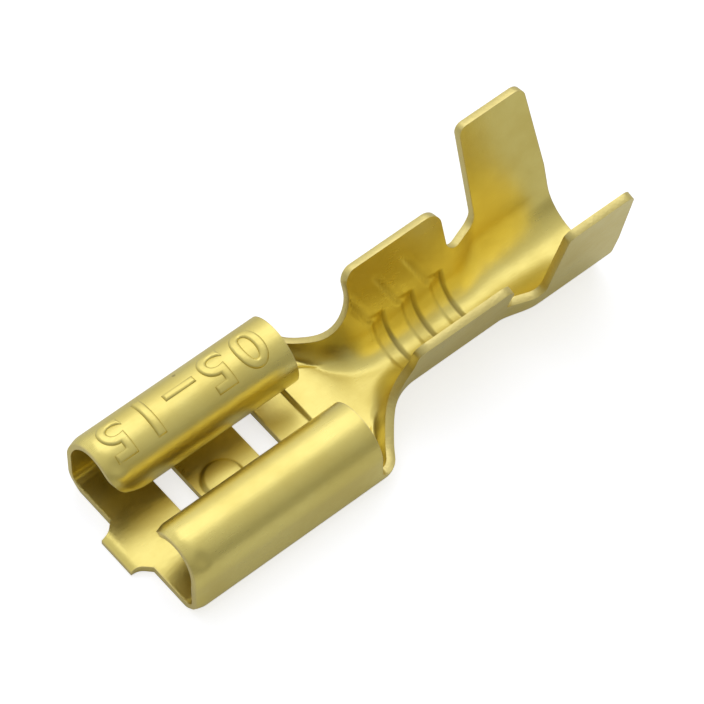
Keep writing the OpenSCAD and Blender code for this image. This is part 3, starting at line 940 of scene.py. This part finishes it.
# %% Floor
floor_drop, seen_lift, camera_lift = 0.00002, 0.1, 0.56
bpy.ops.mesh.primitive_plane_add(size=1.0, location=(0, 0, -floor_drop))
floor = bpy.context.object
floor.name = "floor"
white = bpy.data.materials.new("pale floor")
white.use_nodes = True
tree = white.node_tree
skin = tree.nodes["Principled BSDF"]
skin.inputs["Base Color"].default_value = (0.66, 0.67, 0.69, 1)
skin.inputs["Roughness"].default_value = 0.9
skin.inputs["Specular IOR Level"].default_value = 0.0
ray = node(tree, "ShaderNodeLightPath")
seen = math_node(tree, "MAXIMUM", ray.outputs["Is Camera Ray"], ray.outputs["Is Glossy Ray"])
seen = math_node(tree, "MAXIMUM", seen, ray.outputs["Is Transmission Ray"])
skin.inputs["Emission Color"].default_value = (1, 1, 1, 1)
lift = math_node(tree, "MULTIPLY", ray.outputs["Is Camera Ray"], camera_lift)
tree.links.new(math_node(tree, "ADD", math_node(tree, "MULTIPLY", seen, seen_lift), lift),
               skin.inputs["Emission Strength"])
floor.data.materials.append(white)
print("floor:", floor.name, "at", -floor_drop / MM, "mm")

# %% Studio sky
sky_low, sky_high = (0.34, 0.34, 0.345, 1), (0.80, 0.80, 0.815, 1)
sky_steps = ((0.16, 0.46), (0.45, 0.56))
sky_blue = 1.02
world = bpy.data.worlds.new("studio")
bpy.context.scene.world = world
world.use_nodes = True
tree = world.node_tree
bg = tree.nodes["Background"]
bg.inputs["Strength"].default_value = 1.0
way = node(tree, "ShaderNodeVectorMath", operation="DOT_PRODUCT")
tree.links.new(node(tree, "ShaderNodeTexCoord").outputs["Generated"], way.inputs[0])
way.inputs[1].default_value = Vector((0.25, 0.5, 0.83)).normalized()
sky = node(tree, "ShaderNodeValToRGB")
sky.color_ramp.elements[0].color = sky_low
sky.color_ramp.elements[1].color = sky_high
for place, level in sky_steps:
    step = sky.color_ramp.elements.new(place)
    step.color = (level, level, level * sky_blue, 1)
tree.links.new(way.outputs["Value"], sky.inputs[0])
choose = node(tree, "ShaderNodeMix", data_type="RGBA")
tree.links.new(node(tree, "ShaderNodeLightPath").outputs["Is Camera Ray"], choose.inputs["Factor"])
tree.links.new(sky.outputs[0], choose.inputs["A"])
choose.inputs["B"].default_value = (1, 1, 1, 1)
tree.links.new(choose.outputs["Result"], bg.inputs["Color"])
print("sky:", len(sky.color_ramp.elements), "levels from dark to light")

# %% Softboxes
lamp_colour = (0.96, 0.98, 1.22)


def softbox(name, place, target, size, power):
    """A rectangular area lamp at place, turned to the target."""
    data = bpy.data.lights.new(name, "AREA")
    data.shape = "RECTANGLE"
    data.size, data.size_y = size
    data.energy = power
    data.color = lamp_colour
    lamp = bpy.data.objects.new(name, data)
    bpy.context.collection.objects.link(lamp)
    lamp.location = place
    lamp.rotation_euler = (Vector(target) - Vector(place)).to_track_quat("-Z", "Y").to_euler()
    print(name, "gives", power, "W")


softbox("overhead softbox", (0.146, 0.174, 0.353), (0, 0, 0), (0.42, 0.34), 0.30)
softbox("fill from behind", (0.02, 0.34, 0.14), (0, 0, 0), (0.44, 0.24), 0.06)

# %% Camera
azimuth, elevation, roll = (math.radians(v) for v in (-39.847, 57.264, 0.322))
lens_mm, distance = 234.5, 162.68
back = Vector((math.sin(azimuth) * math.cos(elevation),
               -math.cos(azimuth) * math.cos(elevation), math.sin(elevation)))
level = Vector((math.cos(azimuth), math.sin(azimuth), 0))
over = back.cross(level)
right = level * math.cos(roll) + over * math.sin(roll)
up = over * math.cos(roll) - level * math.sin(roll)
target = Vector((10.496 - x_shift, 0.667, 1.5)) * MM
lens_data = bpy.data.cameras.new("camera")
lens_data.sensor_width = 36.0
lens_data.lens = lens_mm
lens_data.clip_start, lens_data.clip_end = 0.01, 5
camera = bpy.data.objects.new("camera", lens_data)
bpy.context.collection.objects.link(camera)
camera.matrix_world = (Matrix.Translation(target + back * distance * MM)
                       @ Matrix((right, up, back)).transposed().to_4x4())
bpy.context.scene.camera = camera
bpy.context.scene.view_settings.view_transform = "Standard"
print("camera:", lens_data.lens, "mm lens,", distance, "mm from the part")
